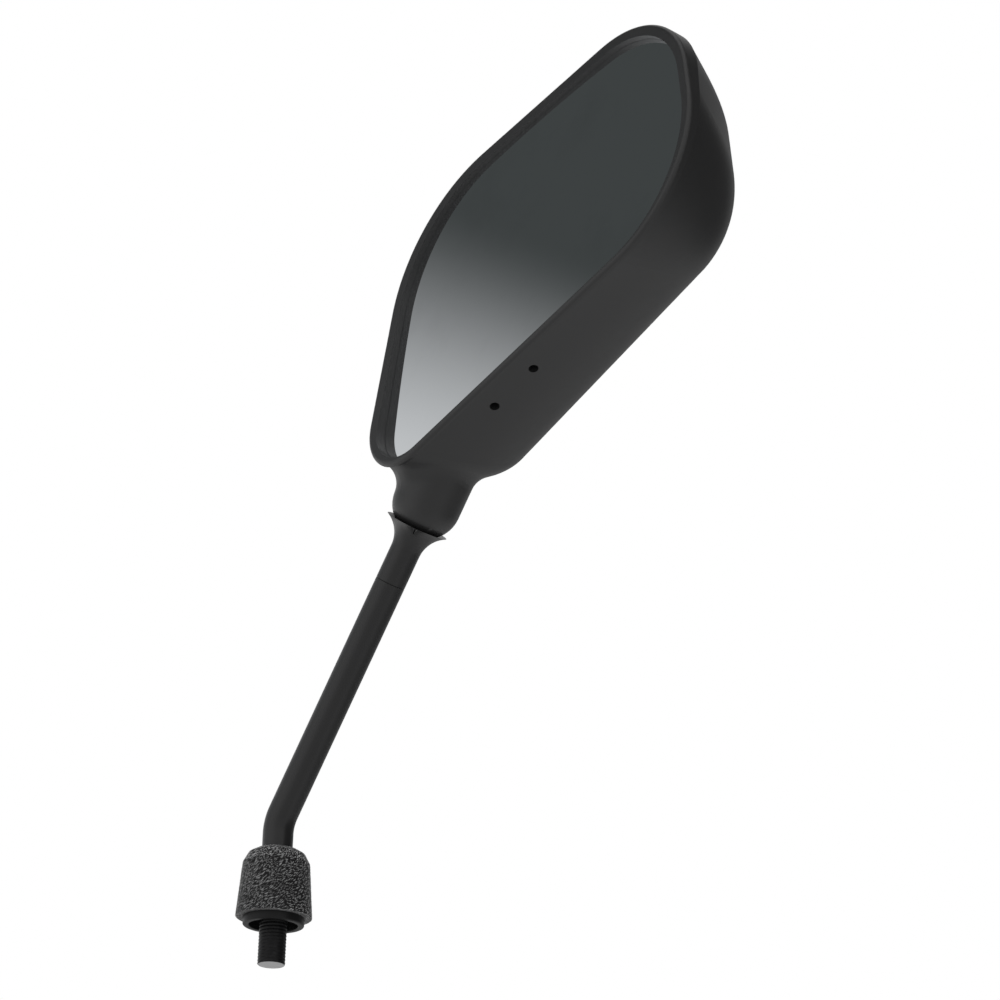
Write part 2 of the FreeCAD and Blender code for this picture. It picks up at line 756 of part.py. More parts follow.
NODES = [
    "mounting_stud", "stem_tube", "ball_stud", "joint_collar", "rubber_boot", "boot_ring",
    "lock_washer", "lock_nut", "lower_ball_seat", "upper_ball_seat", "pressure_spring",
    "spring_plate", "retaining_ring", "housing", "mirror_glass", "backing_pad",
]

for make in (mounting_stud, stem_tube, ball_stud, joint_collar, rubber_boot, boot_ring, lock_washer,
             lock_nut, lower_ball_seat, upper_ball_seat, pressure_spring, spring_plate,
             retaining_ring, head_pieces):
    make()
doc.recompute()

failed = [o.Label for o in doc.Objects if {"Invalid", "Error"} & set(o.State)]
if failed:
    raise RuntimeError(f"failed features: {failed}")
os.makedirs("parts", exist_ok=True)
for node in NODES:
    shape = doc.getObjectsByLabel(node)[0].Shape
    if shape.isNull() or not shape.isValid() or len(shape.Solids) < 1:
        raise RuntimeError(f"{node} is not a valid solid")
    print(node, len(shape.Solids), round(shape.Volume, 1))
for node in NODES:
    doc.getObjectsByLabel(node)[0].Shape.exportStep(os.path.join("parts", f"{node}.step"))
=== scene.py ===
import math

import bmesh
import bpy
import numpy as np
from mathutils import Matrix, Vector


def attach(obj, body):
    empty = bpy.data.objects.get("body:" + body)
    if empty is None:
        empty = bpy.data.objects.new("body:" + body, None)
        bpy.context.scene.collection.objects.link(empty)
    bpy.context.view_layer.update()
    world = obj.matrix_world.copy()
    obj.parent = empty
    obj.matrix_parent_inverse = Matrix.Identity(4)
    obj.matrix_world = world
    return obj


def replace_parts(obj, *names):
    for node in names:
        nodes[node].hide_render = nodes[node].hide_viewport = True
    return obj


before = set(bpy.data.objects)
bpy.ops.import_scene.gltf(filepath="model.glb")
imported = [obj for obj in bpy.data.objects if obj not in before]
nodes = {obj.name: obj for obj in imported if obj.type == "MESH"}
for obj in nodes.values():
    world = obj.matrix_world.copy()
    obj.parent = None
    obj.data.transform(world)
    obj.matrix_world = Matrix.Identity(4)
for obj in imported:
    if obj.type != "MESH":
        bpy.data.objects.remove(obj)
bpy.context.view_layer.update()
mm = 0.001
weld = 2e-7  # metres, points nearer than this become one
tiny = 1e-4  # mm, as good as nothing
print("frame loaded", len(nodes), "nodes")


def turned(degrees, axis):
    return Matrix.Rotation(math.radians(degrees), 4, axis)


# places: the ball joint's Z lies along the stem's upper run, the head's axes are X outward, Y back, Z up
joint = {"ball": (64.62, 0.0, 146.601), "lean": 30.8, "yaw": -10.8, "tilt": -12.7, "headLean": -26.0}
ballSpot = Matrix.Translation(Vector(joint["ball"]) * mm)
jointPlace = ballSpot @ turned(joint["lean"], "Y")
headPlace = ballSpot @ turned(joint["yaw"], "Z") @ turned(joint["tilt"], "X") @ turned(joint["headLean"], "Y")


# mesh helpers

def placed(points, place, unit=mm):  # points scaled to metres, then turned and moved by place
    m = np.array(place)
    return points * unit @ m[:3, :3].T + m[:3, 3]


def linked(name, data):  # new object in the scene
    made = bpy.data.objects.new(name, data)
    bpy.context.scene.collection.objects.link(made)
    return made


def gridPiece(name, points, place=Matrix.Identity(4), wrapV=False, sharp=35):
    # points[u, v]: u runs round and closes on itself, v runs along the profile; quads join the neighbours
    countU, countV = points.shape[:2]
    index = np.arange(countU * countV).reshape(countU, countV)
    nextU = np.roll(index, -1, axis=0)
    if wrapV:
        a, b, c, d = index, nextU, np.roll(nextU, -1, axis=1), np.roll(index, -1, axis=1)
    else:
        a, b, c, d = index[:, :-1], nextU[:, :-1], nextU[:, 1:], index[:, 1:]
    quads = np.stack([a, b, c, d], axis=-1).reshape(-1, 4)
    mesh = bpy.data.meshes.new(name)
    mesh.from_pydata(placed(points.reshape(-1, 3), place).tolist(), [], quads.tolist())
    shell = bmesh.new()
    shell.from_mesh(mesh)
    bmesh.ops.remove_doubles(shell, verts=shell.verts, dist=weld)  # closes poles and seams
    bmesh.ops.recalc_face_normals(shell, faces=shell.faces)
    shell.to_mesh(mesh)
    shell.free()
    mesh.shade_smooth()
    mesh.set_sharp_from_angle(angle=math.radians(sharp))
    return linked(name, mesh)


def markPoints(piece, name, values):  # one number per vertex, for the finish to read
    mark = piece.data.attributes.new(name, "FLOAT", "POINT")
    mark.data.foreach_set("value", values.astype(np.float32))


def roundedLoop(corners, steps=6):
    # corners (r, z, radius): each corner is swapped for an arc tangent to its two sides
    flat = np.array([c[:2] for c in corners], float)
    share = np.linspace(0, 1, steps + 1)[:, None]
    loop = []
    for i, (*_, radius) in enumerate(corners):
        here = flat[i]
        if radius <= 0:
            loop.append(here[None])
            continue
        inward, onward = flat[i - 1] - here, flat[(i + 1) % len(flat)] - here
        inward, onward = inward / np.linalg.norm(inward), onward / np.linalg.norm(onward)
        half = math.acos(np.clip(inward @ onward, -1, 1)) / 2
        middle = here + (inward + onward) / np.linalg.norm(inward + onward) * radius / math.sin(half)
        start, end = here + inward * radius / math.tan(half), here + onward * radius / math.tan(half)
        chord = start + (end - start) * share - middle
        loop.append(middle + chord / np.linalg.norm(chord, axis=1)[:, None] * radius)
    return np.concatenate(loop)


def runLength(loop):  # length along a line of points, from its first
    return np.r_[0, np.cumsum(np.linalg.norm(np.diff(loop, axis=0), axis=1))]


def spread(loop, step):
    # more points along a closed loop, so that no side is longer than step
    dense = []
    for here, there in zip(loop, np.roll(loop, -1, axis=0)):
        count = max(1, int(math.ceil(np.linalg.norm(there - here) / step)))
        dense.append(here + (there - here) * (np.arange(count) / count)[:, None])
    return np.concatenate(dense)


def fullTurn(count):  # angles of one turn, as a column
    return np.linspace(0, 2 * math.pi, count, endpoint=False)[:, None]


def spun(loop, count):
    # surface of revolution: (r cos a, r sin a, z) for each angle a and each profile point (r, z)
    angle = fullTurn(count)
    r, z = loop[:, 0][None], loop[:, 1][None]
    return np.stack([r * np.cos(angle), r * np.sin(angle), z + 0 * angle], axis=-1)


# shader helpers

class Wire:  # a socket that can be added, multiplied and so on
    def __init__(self, tree, socket):
        self.tree, self.socket = tree, socket

    def maths(self, operation, *values):
        made = self.tree.nodes.new("ShaderNodeMath")
        made.operation = operation
        for place, value in enumerate(values):
            if isinstance(value, Wire):
                self.tree.links.new(value.socket, made.inputs[place])
            else:
                made.inputs[place].default_value = value
        return Wire(self.tree, made.outputs[0])

    def __add__(self, other):
        return self.maths("ADD", self, other)

    def __sub__(self, other):
        return self.maths("SUBTRACT", self, other)

    def __rsub__(self, other):
        return self.maths("SUBTRACT", other, self)

    def __mul__(self, other):
        return self.maths("MULTIPLY", self, other)

    def __truediv__(self, other):
        return self.maths("DIVIDE", self, other)

    def __pow__(self, other):
        return self.maths("POWER", self, other)

    __radd__ = __add__
    __rmul__ = __mul__


class Finish:  # one material: a Principled shader and what feeds it
    def __init__(self, name, **fixed):
        self.material = bpy.data.materials.new(name)
        self.material.use_nodes = True
        self.tree = self.material.node_tree
        self.shader = self.tree.nodes["Principled BSDF"]
        for socket, value in fixed.items():
            self.shader.inputs[socket.replace("_", " ")].default_value = value
        self.place = self.node("ShaderNodeTexCoord", out="Object")

    def node(self, kind, settings=None, out=0, **values):  # sockets by name, or by number as i0, i1 and so on
        made = self.tree.nodes.new(kind)
        for key, value in (settings or {}).items():
            setattr(made, key, value)
        for key, value in values.items():
            socket = made.inputs[int(key[1:]) if key[1:].isdigit() else key.replace("_", " ")]
            if isinstance(value, Wire):
                self.tree.links.new(value.socket, socket)
            else:
                socket.default_value = value
        return Wire(self.tree, made.outputs[out])

    def noise(self, size, detail=3.0, rough=0.55):  # size in mm, gives 0 to 1
        return self.node("ShaderNodeTexNoise", Vector=self.place, Scale=1 / (size * mm), Detail=detail,
                         Roughness=rough)

    def cells(self, size):  # size in mm
        return self.node("ShaderNodeTexVoronoi", {"feature": "F1"}, Vector=self.place, Scale=1 / (size * mm))

    def mark(self, name):  # a piece's own number per vertex
        return self.node("ShaderNodeAttribute", {"attribute_name": name}, out="Fac")

    def axis(self, letter):  # one Object coordinate in mm
        return self.node("ShaderNodeSeparateXYZ", out=letter, i0=self.place) / mm

    def radius(self):  # distance from the Z axis in mm
        x, y = self.axis("X"), self.axis("Y")
        return (x * x + y * y) ** 0.5

    def ramp(self, value, low, high):  # 0 at low, 1 at high, eased
        return self.node("ShaderNodeMapRange", {"interpolation_type": "SMOOTHSTEP"}, Value=value,
                         From_Min=low, From_Max=high)

    def tint(self, share, dark, pale):  # mixes two colours, each three numbers or a link
        dark, pale = (c if isinstance(c, Wire) else (*c, 1) for c in (dark, pale))
        return self.node("ShaderNodeMix", {"data_type": "RGBA"}, out=2, i0=share, i6=dark, i7=pale)

    def bump(self, height, depth):  # depth in mm
        return self.node("ShaderNodeBump", Height=height, Distance=depth * mm, Strength=1.0)

    def feed(self, **links):
        for socket, value in links.items():
            self.tree.links.new(value.socket, self.shader.inputs[socket.replace("_", " ")])
        return self.material


def dress(piece, material):
    piece.data.materials.clear()
    piece.data.materials.append(material)


# finishes: sizes and depths in mm, pairs are where a ramp starts and ends

def housingPlastic():
    look = {"dark": (0.0150, 0.0151, 0.0155), "pale": (0.0215, 0.0216, 0.0222), "gloss": 0.42, "rough": 0.33,
            "flow": 34.0, "grain": 0.32, "grainDepth": 0.010, "scuff": 7.0, "scuffed": (0.60, 0.74)}
    f = Finish("housingPlastic", Specular_IOR_Level=look["gloss"])
    flow = f.noise(look["flow"], detail=2.0)  # slow change of tone from moulding
    grain = f.noise(look["grain"], detail=2.0, rough=0.6)
    scuff = f.ramp(f.noise(look["scuff"], detail=6.0, rough=0.72), *look["scuffed"])
    return f.feed(Base_Color=f.tint(flow * 0.6 + scuff * 0.25, look["dark"], look["pale"]),
                  Roughness=flow * 0.10 + grain * 0.08 + scuff * 0.05 + look["rough"],
                  Normal=f.bump(grain, look["grainDepth"]))


def stemPaint():
    look = {"dark": (0.0105, 0.0105, 0.0109), "pale": (0.0150, 0.0150, 0.0155), "gloss": 0.38, "rough": 0.30,
            "cloud": 18.0, "speck": 0.35, "specked": (0.66, 0.78), "peel": 1.1, "peelDepth": 0.030}
    f = Finish("stemPaint", Specular_IOR_Level=look["gloss"])
    peel = f.noise(look["peel"], detail=2.0, rough=0.45)
    speck = f.ramp(f.noise(look["speck"], detail=2.0), *look["specked"])
    cloud = f.noise(look["cloud"])
    return f.feed(Base_Color=f.tint(cloud * 0.7 + speck * 0.3, look["dark"], look["pale"]),
                  Roughness=cloud * 0.12 + speck * 0.10 + look["rough"],
                  Normal=f.bump(peel, look["peelDepth"]))


def bootRubber():
    look = {"dark": (0.0040, 0.0040, 0.0042), "pale": (0.80, 0.80, 0.805), "gloss": 0.20, "rough": 0.60,
            "sheen": 0.50, "sheenRough": 0.30, "crown": (0.36, 0.96), "crestHighlight": 0.40,
            "dustAndSlopeLight": 9.0, "slope": (22.5, 23.5), "fine": 0.22, "fineDepth": 0.03}
    f = Finish("bootRubber", Specular_IOR_Level=look["gloss"], Sheen_Weight=look["sheen"],
               Sheen_Roughness=look["sheenRough"])
    fine = f.noise(look["fine"], detail=2.0, rough=0.6)
    slope = f.ramp(f.axis("Z"), *look["slope"])
    dustAndSlopeLight = f.noise(look["dustAndSlopeLight"], detail=4.0) * 0.3 + slope * 0.45  # painted light: the noise is dust, and the slope term paints the upward slope paler, as if lit from above
    # painted highlight and shade: the grain's crests are tinted pale and its sunk grooves near black
    crown = f.ramp(f.mark("grain"), *look["crown"])
    return f.feed(Base_Color=f.tint(crown * (dustAndSlopeLight + look["crestHighlight"]), look["dark"], look["pale"]),
                  Roughness=look["rough"] - crown * 0.16 + fine * 0.08,
                  Normal=f.bump(fine, look["fineDepth"]))


def ringPlastic():
    look = {"dark": (0.0045, 0.0045, 0.0048), "pale": (0.0080, 0.0080, 0.0083), "gloss": 0.20, "rough": 0.34,
            "cloud": 6.0, "grain": 0.3, "grainDepth": 0.008}
    f = Finish("ringPlastic", Specular_IOR_Level=look["gloss"])
    cloud, grain = f.noise(look["cloud"]), f.noise(look["grain"], detail=2.0)
    return f.feed(Base_Color=f.tint(cloud, look["dark"], look["pale"]),
                  Roughness=cloud * 0.10 + look["rough"], Normal=f.bump(grain, look["grainDepth"]))


def studZinc():
    look = {"black": (0.0050, 0.0050, 0.0053), "worn": (0.016, 0.016, 0.017), "faced": (0.45, 0.45, 0.453),
            "gloss": 0.16, "rough": 0.40, "face": (-14.48, -14.40), "crest": (4.72, 4.98),
            "wear": 1.6, "wearFrom": (0.45, 0.75), "toolMarks": 42.0, "grit": 0.4, "depth": 0.012}
    f = Finish("studZinc", Specular_IOR_Level=look["gloss"])
    radius = f.radius()
    face = 1 - f.ramp(f.axis("Z"), *look["face"])  # the faced end
    crest = f.ramp(radius, *look["crest"]) * f.ramp(f.noise(look["wear"], detail=4.0), *look["wearFrom"])
    rings = radius.maths("SINE", radius * look["toolMarks"]) * 0.5 + 0.5
    worn = f.tint(crest, look["black"], look["worn"])
    return f.feed(Base_Color=f.tint(face, worn, look["faced"]), Metallic=face * 0.25 + crest * 0.2,
                  Roughness=look["rough"] - crest * 0.08 + face * 0.10,
                  Normal=f.bump(rings * face + f.noise(look["grit"], detail=2.0) * 0.4, look["depth"]))


def silvering():
    look = {"silver": (0.80, 0.815, 0.825), "hazy": (0.74, 0.755, 0.765), "rim": (0.10, 0.11, 0.11),
            "rough": 0.012, "haze": 38.0, "hazeFrom": (0.48, 0.80)}
    f = Finish("silvering", Metallic=1.0)
    haze = f.ramp(f.noise(look["haze"], detail=4.0, rough=0.6), *look["hazeFrom"])
    edge = f.mark("edge")  # 1 on the ground edge and the back
    tone = f.tint(haze, look["silver"], look["hazy"])
    return f.feed(Base_Color=f.tint(edge, tone, look["rim"]),
                  Roughness=haze * 0.035 + edge * 0.35 + look["rough"])


def zincSteel():
    look = {"dark": (0.36, 0.36, 0.355), "pale": (0.56, 0.56, 0.555), "rough": 0.22, "patch": 4.0,
            "scratch": 0.5, "scratchDepth": 0.01}
    f = Finish("zincSteel", Metallic=1.0)
    patch, scratch = f.noise(look["patch"], detail=5.0, rough=0.65), f.noise(look["scratch"])
    return f.feed(Base_Color=f.tint(patch, look["dark"], look["pale"]),
                  Roughness=patch * 0.2 + scratch * 0.1 + look["rough"],
                  Normal=f.bump(scratch, look["scratchDepth"]))


def springSteel():
    look = {"dark": (0.10, 0.095, 0.09), "pale": (0.26, 0.255, 0.25), "rough": 0.28, "oil": 2.5,
            "drawn": 0.25, "drawnDepth": 0.012}
    f = Finish("springSteel", Metallic=1.0)
    oil, drawn = f.noise(look["oil"], detail=4.0), f.noise(look["drawn"], detail=2.0)
    return f.feed(Base_Color=f.tint(oil, look["dark"], look["pale"]),
                  Roughness=oil * 0.2 + look["rough"], Normal=f.bump(drawn, look["drawnDepth"]))


def seatAcetal():
    look = {"greasy": (0.48, 0.46, 0.42), "clean": (0.68, 0.67, 0.64), "gloss": 0.45, "rough": 0.50,
            "grease": 3.0, "grain": 0.4, "grainDepth": 0.01}
    f = Finish("seatAcetal", Specular_IOR_Level=look["gloss"])
    grease, grain = f.noise(look["grease"], detail=4.0), f.noise(look["grain"], detail=2.0)
    return f.feed(Base_Color=f.tint(grease, look["greasy"], look["clean"]),
                  Roughness=look["rough"] - grease * 0.2, Normal=f.bump(grain, look["grainDepth"]))


def padBlack():
    look = {"dark": (0.020, 0.020, 0.020), "pale": (0.040, 0.040, 0.040), "gloss": 0.35, "rough": 0.70,
            "cloud": 12.0, "pores": 0.9, "poreDepth": 0.10}
    f = Finish("padBlack", Specular_IOR_Level=look["gloss"])
    pores, cloud = f.cells(look["pores"]), f.noise(look["cloud"])
    return f.feed(Base_Color=f.tint(cloud, look["dark"], look["pale"]),
                  Roughness=cloud * 0.15 + look["rough"], Normal=f.bump(pores, look["poreDepth"]))


plastic, paint, rubber, ringFinish = housingPlastic(), stemPaint(), bootRubber(), ringPlastic()
zinc, mirror, steel, wireSteel = studZinc(), silvering(), zincSteel(), springSteel()
acetal, padFinish = seatAcetal(), padBlack()
print("finishes made")


# threaded stud: radius falls from the crest by a V with a flat root, which climbs one pitch a turn

stud = {"radius": 5.0, "pitch": 1.25, "depth": 0.14, "flats": (0.12, 0.90), "threadTop": 19.0, "runOut": 1.2,
        "tip": -14.5, "chamfer": 0.3, "endRings": (3.6, 7), "relief": (1.5, 3.0, 4.2), "reliefEase": 0.25,
        "shoulder": 20.0, "shank": 4.0, "shankBevel": 0.4, "top": 32.0, "round": 96, "step": 0.08}


def threadedStud():
    angle = fullTurn(stud["round"])
    z = np.arange(stud["tip"], stud["shoulder"] + tiny, stud["step"])[None]
    climb = (z / stud["pitch"] - angle / (2 * math.pi)) % 1.0
    root, crest = stud["flats"]
    vee = (crest - np.clip(np.abs(climb - 0.5) * 2, root, crest)) / (crest - root)  # 1 at the root
    fade = np.clip((stud["threadTop"] - z) / stud["runOut"], 0, 1)
    radius = stud["radius"] - stud["depth"] * vee * fade
    radius = np.minimum(radius, stud["radius"] - stud["chamfer"] + (z - stud["tip"]))
    low, high, narrow = stud["relief"]
    ease = stud["reliefEase"]
    inside = np.clip((z - low) / ease, 0, 1) * np.clip((high - z) / ease, 0, 1)
    radius = radius * (1 - inside) + np.minimum(radius, narrow) * inside
    wall = np.stack([radius * np.cos(angle), radius * np.sin(angle), z + 0 * angle], axis=-1)
    shank, bevel, top = stud["shank"], stud["shankBevel"], stud["top"]
    face = [(r, stud["tip"]) for r in np.linspace(0, *stud["endRings"])]
    end = [(shank, stud["shoulder"]), (shank, top - bevel), (shank - bevel, top), (0.0, top)]
    face, end = (spun(np.array(section), stud["round"]) for section in (face, end))
    return gridPiece("studThread", np.concatenate([face, wall, end], axis=1), sharp=50)


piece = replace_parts(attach(threadedStud(), "stem"), "mounting_stud")
dress(piece, zinc)
print("stud cut")


# stem: a round section carried along straight run, arc and straight run

stem = {"radius": 5.5, "bore": 4.0, "bottom": 20.0, "bend": 38.2, "bendRadius": 15.0, "run": 126.2,
        "collarEnd": 31.0, "edge": 0.16, "steps": (10, 25, 40), "round": 64}


def stemSpine():
    # the arc is tangent to both runs, and slope is how far each point's run leans from Z
    lean = math.radians(joint["lean"])
    lowSteps, arcSteps, longSteps = stem["steps"]
    reach = stem["bendRadius"] * math.tan(lean / 2)
    up, out = np.array([0, 0, 1.0]), np.array([math.sin(lean), 0, math.cos(lean)])
    corner = np.array([0, 0, stem["bend"]])
    turn = np.linspace(0, lean, arcSteps)
    centre = corner - up * reach + np.array([stem["bendRadius"], 0, 0])
    arc = centre + stem["bendRadius"] * np.stack([-np.cos(turn), 0 * turn, np.sin(turn)], axis=-1)
    low = np.linspace(stem["bottom"], stem["bend"] - reach, lowSteps)[:-1, None] * up
    long = corner + np.linspace(reach, stem["run"] - stem["collarEnd"], longSteps)[1:, None] * out
    slope = np.concatenate([np.zeros(lowSteps - 1), turn, np.full(longSteps - 1, lean)])
    return np.concatenate([low, arc, long]), slope


def stemTube():
    spine, slope = stemSpine()
    edge = stem["edge"]
    first, last = spine[:1], spine[-1:]
    runIn = np.array([math.sin(slope[-1]), 0, math.cos(slope[-1])])
    outer = np.concatenate([first, first + [0, 0, edge], spine[1:-1], last - runIn * edge, last])
    lean = np.concatenate([slope[:1], slope[:1], slope[1:-1], slope[-1:], slope[-1:]])
    size = np.full(len(outer), stem["radius"])
    size[[0, -1]] -= edge  # small bevels at both ends, the upper one is the seam with the collar
    path = np.concatenate([outer, outer[::-1]])
    lean = np.concatenate([lean, lean[::-1]])
    size = np.concatenate([size, np.full(len(outer), stem["bore"])])
    angle = fullTurn(stem["round"])[..., None]
    across = np.stack([np.cos(lean), 0 * lean, -np.sin(lean)], axis=-1)[None]
    section = np.cos(angle) * across + np.sin(angle) * np.array([0, 1.0, 0])
    return gridPiece("stemTube", path[None] + section * size[None, :, None], wrapV=True)


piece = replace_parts(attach(stemTube(), "stem"), "stem_tube")
dress(piece, paint)
print("stem swept")


# collar: turned section with a flare of one arc outside and a parallel arc inside, and a V sunk under its rim

collar = {"stem": 5.5, "bore": 4.0, "rim": 11.6, "drop": 8.4, "flare": 10.0, "wall": 0.75, "floor": 13.4,
          "seam": 31.0, "edge": 0.16, "straight": 4.0, "rimEdge": 0.12, "lip": ((0.06, 0.02), (0.24, 0.0)),
          "outerSteps": 44, "innerSteps": 12, "round": 288,
          "notchTurn": -45.0, "notchHalf": 1.1, "notchTall": 2.2, "notchSink": 0.9}


def jointCollar():
    stemRadius, bore, rimRadius, drop = (collar[key] for key in ("stem", "bore", "rim", "drop"))
    seam, edge = collar["seam"], collar["edge"]
    out = rimRadius - stemRadius
    flare = (out ** 2 + collar["flare"] ** 2) / (2 * out)
    foot = drop + collar["flare"]

    def arc(radius, top, bottom, count):
        # r = stem + flare - sqrt(radius^2 - height^2), with the height taken from the flare's foot
        down = np.linspace(top, bottom, count)
        return np.stack([stemRadius + flare - np.sqrt(radius ** 2 - (foot - down) ** 2), -down], axis=-1)

    outer = arc(flare, foot, drop + collar["rimEdge"], collar["outerSteps"])
    inner = arc(flare + collar["wall"], drop + collar["wall"], collar["floor"], collar["innerSteps"])
    tube = np.array([(bore, -seam), (stemRadius - edge, -seam), (stemRadius, -seam + edge),
                     (stemRadius, -foot - collar["straight"])])
    lip = np.array([(rimRadius - inward, -drop - below) for inward, below in collar["lip"]])
    floor = np.array([(bore, -collar["floor"])])
    points = spun(np.concatenate([tube, outer, lip, inner, floor]), collar["round"])

    # the notch is deepest on its middle line and narrows to a point below the rim
    x, y, z = points[..., 0], points[..., 1], points[..., 2]
    shown = np.arange(points.shape[1]) < len(tube) + len(outer)
    aside = np.abs(np.arctan2(y, x) - math.radians(collar["notchTurn"])) * rimRadius
    half = collar["notchHalf"] * (1 + (z + drop) / collar["notchTall"])
    sink = np.clip(1 - aside / np.maximum(half, tiny), 0, 1) * (half > 0) * shown * collar["notchSink"]
    points[..., :2] *= 1 - (sink / np.hypot(x, y))[..., None]
    return gridPiece("jointCollar", points, jointPlace, wrapV=True)


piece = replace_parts(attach(jointCollar(), "stem"), "joint_collar")
dress(piece, paint)
print("collar turned")


# boot: turned section whose outside is sunk between slanting ridges

boot = {"corners": [(11.05, 3.0, 0), (13.9, 3.0, 0.4), (12.17, 23.0, 0.6), (10.2, 26.6, 1.6), (7.3, 28.2, 0.5),
                    (5.55, 28.2, 0), (5.55, 22.5, 0), (9.7, 20.4, 0), (9.7, 12.0, 0), (11.05, 12.0, 0)],
        "turns": 440, "step": 0.19, "boreRadius": 5.6,
        "skin": (6.0, 11.3, 21.0),  # radius left plain at the top, radius of the ring's seat, height of the top
        "sink": 0.26, "sinkTo": 15.0, "sinkFlat": 0.25, "easeOver": 3, "plain": 0.4,
        "cells": (94, 58), "cellsOver": 30.0, "slant": 104, "ridge": (0.66, 0.38), "tall": (0.6, 0.4),
        "seed": 7, "swayBy": 0.8, "wobble": (0.5, 7, 11),
        "sway": [(1.0, 4, 5), (0.6, -3, 13), (0.4, 11, 17)]}  # each wave: share, count round, count up


def leatherGrain(across, along):
    # highest of scattered bumps, each a bell stretched along a grid that slants and sways
    countU, countV = boot["cells"]
    random = np.random.default_rng(boot["seed"])
    shiftU, shiftV, tall = (random.random((countU, countV)) for _ in range(3))
    turn = across * 2 * math.pi

    def wave(share, wavesRound, wavesUp):
        return share * np.sin(turn * wavesRound + along * wavesUp)

    u = across * countU + wave(*boot["wobble"])
    v = along * countV - across * boot["slant"] + boot["swayBy"] * sum(wave(*w) for w in boot["sway"])
    cellU, cellV = np.floor(u).astype(int), np.floor(v).astype(int)
    height = np.zeros(u.shape)
    long, wide = boot["ridge"]
    least, more = boot["tall"]
    for stepU in (-1, 0, 1):
        for stepV in (-1, 0, 1):
            lap = (cellU + stepU) // countU  # rows shift by the slant at each full turn
            i, j = (cellU + stepU) % countU, (cellV + stepV + lap * boot["slant"]) % countV
            away = (((cellU + stepU + shiftU[i, j] - u) / long) ** 2
                    + ((cellV + stepV + shiftV[i, j] - v) / wide) ** 2)
            height = np.maximum(height, np.exp(-away) * (least + more * tall[i, j]))
    return height


def rubberBoot():
    loop = roundedLoop(boot["corners"])
    bored = int(np.argmax(loop[:, 0] < boot["boreRadius"]))  # from here on the section is hidden inside
    shown = spread(loop[:bored + 1], boot["step"])
    shown = shown[:np.linalg.norm(shown - loop[bored], axis=1).argmin()]
    loop = np.concatenate([shown, loop[bored:]])
    loop = loop[np.r_[True, np.diff(runLength(loop)) > tiny]]  # no point twice
    points = spun(loop, boot["turns"])
    plainRadius, seatRadius, top = boot["skin"]
    r, z = loop.T
    outside = (r > plainRadius) & ((r > seatRadius) | (z > top))
    over = boot["easeOver"]
    window = np.ones(2 * over + 1) / (2 * over + 1)
    ease = np.convolve(np.pad(outside.astype(float), over, mode="wrap"), window, mode="valid")
    across = np.linspace(0, 1, boot["turns"], endpoint=False)[:, None]
    along = runLength(loop)[None] / boot["cellsOver"]
    grain = leatherGrain(across + 0 * along, along + 0 * across)
    inward = np.array([0, 0, boot["sinkTo"]]) - points
    inward[..., 2] *= boot["sinkFlat"]
    inward /= np.linalg.norm(inward, axis=-1, keepdims=True)
    sink = boot["sink"] * (1 - grain) * ease
    piece = gridPiece("rubberBoot", points + inward * sink[..., None], wrapV=True, sharp=60)
    markPoints(piece, "grain", (grain * ease + (1 - ease) * boot["plain"]).reshape(-1))
    return piece


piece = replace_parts(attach(rubberBoot(), "boot"), "rubber_boot")
dress(piece, rubber)
print("boot grained")


# boot ring: turned section with softened edges

ring = {"corners": [(8.85, 0.0, 0.35), (11.05, 0.0, 0.6), (11.05, 12.0, 0), (8.85, 12.0, 0)], "round": 128}
piece = gridPiece("bootRing", spun(roundedLoop(ring["corners"]), ring["round"]), wrapV=True)
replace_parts(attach(piece, "boot"), "boot_ring")
dress(piece, ringFinish)
print("ring turned")


# glass: rings of the rim's outline shrink to the middle, each point lies on the convex ball

rim = {"corners": [(-14.9, -2.4, 21.9), (27.4, 110.3, 58.2), (175.7, 109.1, 43.6), (178.9, 6.9, 48.6)],
       "front": -22.0, "arcSteps": 60}
glass = {"insets": (5.24, 5.24, 4.24, 2.04), "recess": 4.2, "thickness": 2.0, "radius": 1400.0, "bevel": 0.06,
         "rings": 48, "firstRing": 0.02, "backRings": 12, "round": 256, "edgeFrom": 1.5}


def rimOutline(insets, count):
    # the four sides moved in, each by its inset, and joined by arcs, sampled evenly along the length
    spots = np.array([c[:2] for c in rim["corners"]])
    along = np.roll(spots, -1, axis=0) - spots
    along /= np.linalg.norm(along, axis=1)[:, None]
    start = spots + np.stack([along[:, 1], -along[:, 0]], axis=-1) * np.array(insets)[:, None]
    corners = []
    for i, (*_, radius) in enumerate(rim["corners"]):  # where this side crosses the one before it
        a, d, b, e = start[i - 1], along[i - 1], start[i], along[i]
        gap = b - a
        spot = a + d * (gap[0] * e[1] - gap[1] * e[0]) / (d[0] * e[1] - d[1] * e[0])
        corners.append((*spot, radius - (insets[i - 1] + insets[i]) / 2))
    loop = roundedLoop(corners, rim["arcSteps"])
    loop = np.concatenate([loop, loop[:1]])
    length = runLength(loop)
    even = np.linspace(0, length[-1], count, endpoint=False)
    return np.stack([np.interp(even, length, loop[:, k]) for k in (0, 1)], axis=-1)


